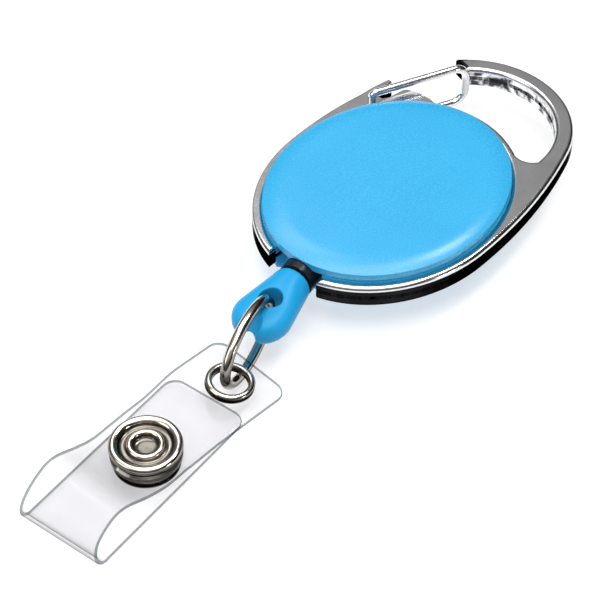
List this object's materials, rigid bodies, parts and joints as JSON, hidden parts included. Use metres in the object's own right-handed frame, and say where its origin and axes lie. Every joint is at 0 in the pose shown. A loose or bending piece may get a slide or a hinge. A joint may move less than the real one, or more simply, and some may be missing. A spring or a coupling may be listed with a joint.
{
  "type": "retractable badge reel",
  "caption": "Carabiner badge reel: a spring-wound drum pays out a cord that ends in a swivel link and a clear snap strap for an identity card.",
  "frame": {"origin": "on the drum's axis, at the flat back face that the reel lies on", "axes": "+X towards the carabiner end, -X the way the cord leaves, +Y towards the wire gate, +Z out of the blue front cover"},
  "size_m": [0.1084, 0.0362, 0.0106],
  "materials": {
    "frame_metal": "satin grey top with polished dark sides and bright bevels",
    "gate_metal": "bright polished wire",
    "cover_blue": "satin sky blue with a fine moulded grain",
    "guide_plastic": "black acetal",
    "post_metal": "turned steel",
    "screw_metal": "zinc-plated steel",
    "plug_plastic": "same blue as the shells",
    "washer_plastic": "natural nylon",
    "drum_plastic": "natural white acetal",
    "disc_plastic": "natural acetal",
    "spring_steel": "blued spring steel strip",
    "cord_black": "black braided nylon",
    "ferrule_black": "black moulded plastic",
    "connector_blue": "moulded blue plastic",
    "ring_nickel": "nickel-plated steel wire",
    "strap_vinyl": "clear flexible vinyl, about 0.5 mm thick",
    "eyelet_nickel": "nickel-plated brass",
    "snap_nickel": "nickel-plated brass",
    "snap_spring_wire": "phosphor spring wire"
  },
  "bodies": {
    "housing": {"carabiner_frame": "frame_metal", "front_cover": "cover_blue", "rear_cover": "cover_blue", "cord_guide": "guide_plastic", "axle_post": "post_metal", "centre_screw": "screw_metal", "screw_plug": "plug_plastic", "thrust_washer": "washer_plastic", "spiral_spring": "spring_steel"},
    "gate": {"gate_wire": "gate_metal"},
    "drum": {"drum": "drum_plastic", "spring_cover_disc": "disc_plastic", "cord_winding": "cord_black", "drum_knot": "cord_black"},
    "connector": {"cord_ferrule": "ferrule_black", "cord_end_connector": "connector_blue", "connector_knot": "cord_black", "cord_lead": "cord_black"},
    "ring": {"link_ring": "ring_nickel"},
    "strap_upper": {"strap_upper": "strap_vinyl", "eyelet_grommet": "eyelet_nickel", "eyelet_washer": "eyelet_nickel", "snap_cap": "snap_nickel", "snap_socket": "snap_nickel", "snap_ring_spring": "snap_spring_wire"},
    "strap_lower": {"strap_lower": "strap_vinyl", "snap_stud": "snap_nickel", "snap_base": "snap_nickel"}
  },
  "joints": [
    {"name": "gate_pivot", "type": "hinge", "parent": "housing", "child": "gate", "pos_m": [0.0139, 0.0146, 0.00605], "axis": [0, 0, -1], "range_deg": [0, 25], "stiffness_Nm_per_rad": 0.01, "springref_deg": -34.38},
    {"name": "cord_pull", "type": "slide", "parent": "housing", "child": "connector", "axis": [-0.9885, -0.1513, 0], "range_m": [0, 0.6], "stiffness_N_per_m": 0.5, "springref_m": -1, "deforming": ["cord_lead"]},
    {"name": "drum_spin", "type": "hinge", "parent": "housing", "child": "drum", "pos_m": [0, 0, 0.006], "axis": [0, 0, 1], "range_deg": [-3200, 0], "deforming": ["spiral_spring"]},
    {"name": "ring_swing", "type": "hinge", "parent": "connector", "child": "ring", "pos_m": [-0.0274, -0.00189, 0.006], "axis": [0, 0, 1], "range_deg": [-40, 25]},
    {"name": "strap_swing", "type": "hinge", "parent": "ring", "child": "strap_upper", "pos_m": [-0.0356, -0.00393, 0.00701], "axis": [-0.2823, 0.9593, 0], "range_deg": [-25, 25]},
    {"name": "snap_open", "type": "hinge", "parent": "strap_upper", "child": "strap_lower", "pos_m": [-0.07154, -0.00595, 0.0016], "axis": [-0.0819, 0.9966, 0], "range_deg": [0, 60]}
  ],
  "couplings": [
    {"joint": "drum_spin", "follows": "cord_pull", "rad_per_m": -91.7}
  ]
}
